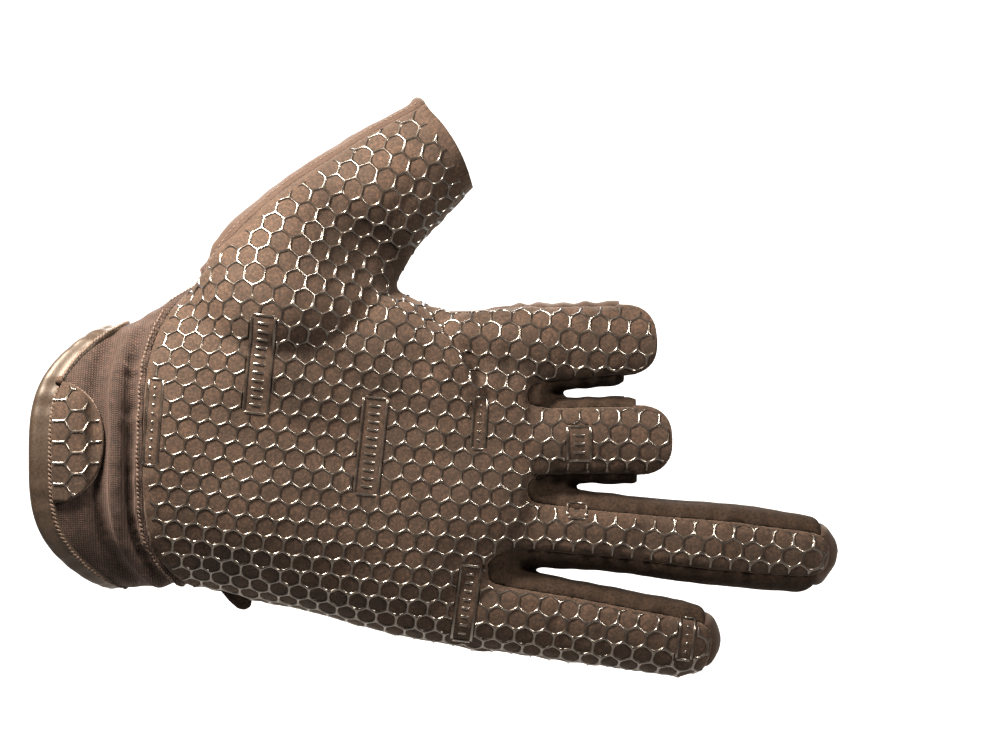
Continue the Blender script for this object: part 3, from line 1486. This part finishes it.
def satin_tape():
    made = material(
        "satin_tape", (0.014, 0.01, 0.007), 0.48,
        sheen_weight=0.0, sheen_roughness=0.4, specular_ior_level=0.22)
    threads = noise(made, 1800.0, 2.0, 0.5)
    colour_by(made, threads, "Fac", [(0.3, (0.008, 0.0055, 0.004)), (0.7, (0.019, 0.0133, 0.0096))])
    raise_by(made, threads, "Fac", 0.25, 0.00012)
    return made


# The wrist's radius in the knit's map, in millimetres
MAP_RADIUS = 29.0


def map_cloth(piece):
    """A map in millimetres for a ribbed cloth: along the glove, and round it."""
    points = points_of(piece)
    turn = np.arctan2(points[:, 2], points[:, 1])
    layer = piece.data.uv_layers.new(name="cloth")
    loops = np.empty(len(piece.data.loops), np.int32)
    piece.data.loops.foreach_get("vertex_index", loops)
    around = turn[loops]
    starts = np.empty(len(piece.data.polygons), np.int32)
    totals = np.empty(len(piece.data.polygons), np.int32)
    piece.data.polygons.foreach_get("loop_start", starts)
    piece.data.polygons.foreach_get("loop_total", totals)
    first = np.repeat(around[starts], totals)
    around = np.where(around - first > math.pi, around - 2 * math.pi, around)
    around = np.where(first - around > math.pi, around + 2 * math.pi, around)
    uv = np.stack([around * MAP_RADIUS, points[loops][:, 0]], axis=1)
    layer.data.foreach_set("uv", uv.astype(np.float32).ravel())


# The stage: a white backdrop, a pale floor well below, a camera square to the palm, and soft light,
# the strongest from the upper left. Its places and sizes are in metres.

def stage_plane(name, location, rotation, finish):
    deselect_all()
    bpy.ops.mesh.primitive_plane_add(size=8, location=location, rotation=rotation)
    plane = bpy.context.object
    plane.name = name
    plane.data.materials.append(finish)
    return plane


def white_stage():
    white = (1, 1, 1, 1)
    glow = material("white_backdrop", (0.9, 0.9, 0.9), 0.9, emission_color=white, emission_strength=1.0)
    pale = material("pale_floor", (0.62, 0.61, 0.6), 0.9)
    floor = stage_plane("floor", (0.1, 0.0, -0.35), (0, 0, 0), pale)
    wall = stage_plane("backdrop", (0.1, 1.6, 0.0), (math.pi / 2, 0, 0), glow)


# The picture shows this width at the palm's distance from the camera
VIEW_WIDTH = 0.265
VIEW_DISTANCE = 0.74


def camera():
    data = bpy.data.cameras.new("camera")
    data.sensor_width = 36
    data.lens = data.sensor_width * VIEW_DISTANCE / VIEW_WIDTH
    made = new_object("camera", data)
    made.location = (0.114, -0.75, 0.0217)
    made.rotation_euler = (math.pi / 2, 0, 0)
    bpy.context.scene.camera = made


def light(name, place, aim, size, power, colour):
    data = bpy.data.lights.new(name, "AREA")
    data.shape = "DISK"
    data.size = size
    data.energy = power
    data.color = colour
    made = new_object(name, data)
    made.location = place
    made.rotation_euler = (Vector(aim) - Vector(place)).to_track_quat("-Z", "Y").to_euler()


def lights():
    target = (0.08, 0, 0.02)
    light("key", (-0.05, -0.13, 0.2), target, 0.075, 8.4, (1.0, 0.825, 0.65))
    light("right", (0.38, -0.28, 0.21), target, 0.07, 4.4, (1.0, 0.84, 0.68))
    light("back", (-0.05, 0.6, 0.5), target, 0.3, 7.0, (1.0, 0.93, 0.86))
    world = bpy.data.worlds.new("studio")
    bpy.context.scene.world = world
    world.use_nodes = True
    sky = world.node_tree.nodes["Background"]
    sky.inputs["Color"].default_value = (1, 0.92, 0.84, 1)
    sky.inputs["Strength"].default_value = 0.25
    bpy.context.scene.view_settings.view_transform = "Standard"


def finish_piece(piece, slot, finishes, replaces=(), inside=()):
    """Gives a piece the finish of its slot, and binds it to the glove's one body."""
    for name in (slot, *inside):
        piece.data.materials.append(finishes[name])
    for polygon in piece.data.polygons:
        polygon.use_smooth = True
    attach(piece, "root")
    if replaces:
        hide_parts(*replaces)


def build():
    form = glove_form()
    points = points_of(form)
    normals = normals_of(form)
    put_points(form, points + normals * relief(points, normals)[:, None])
    finishes = {name: plain_cloth(name) for name in CLOTHS}
    finishes.update(
        printed_suede=suede(), wrist_knit=wrist_knit(), satin_tape=satin_tape(), grip_print=grip())
    pieces = cut_panels(form)
    for piece, (_, slot, solid) in zip(pieces, PANELS):
        if slot == "wrist_knit":
            map_cloth(piece)
        finish_piece(piece, slot, finishes, [solid], ["lining"])
        apply_modifier(piece, "SOLIDIFY", thickness=CLOTH * MM, offset=-1, material_offset=1)
    cloth = tree_of(*pieces)
    wrist = tree_of(pieces[5])
    finish_piece(palm_print(form), "grip_print", finishes)
    finish_piece(label_print(cloth), "grip_print", finishes)
    bpy.data.objects.remove(form)
    binding = cuff_binding()
    finish_piece(binding, "satin_tape", finishes, ["cuff_binding"])
    finish_piece(pull_tab(wrist), "printed_suede", finishes, ["pull_tab"])
    finish_piece(tab_print(wrist), "grip_print", finishes)
    finish_piece(strap_end(), "printed_suede", finishes, ["strap_end"])
    # Rows of stitches: piece, line, surface, pitch, length, radius, lift and slant
    seams = [
        ("glove_wrist_stitches", wrist_line(1.4), cloth, 1.2, 1.05, 0.27, 0.1, 0.5),
        ("glove_binding_stitches", binding_line(5.5), tree_of(binding), 1.15, 1.4, 0.33, 0.1, 0.6),
        ("glove_thumb_stitches", thumb_line(cloth, 0.9, 0.1, 0.97), cloth, 1.5, 1.0, 0.2, 0.05, 0.0),
    ]
    for seam in seams:
        row = sew(*seam)
        finish_piece(row, "seam_thread", finishes)


white_stage()
camera()
lights()
build()
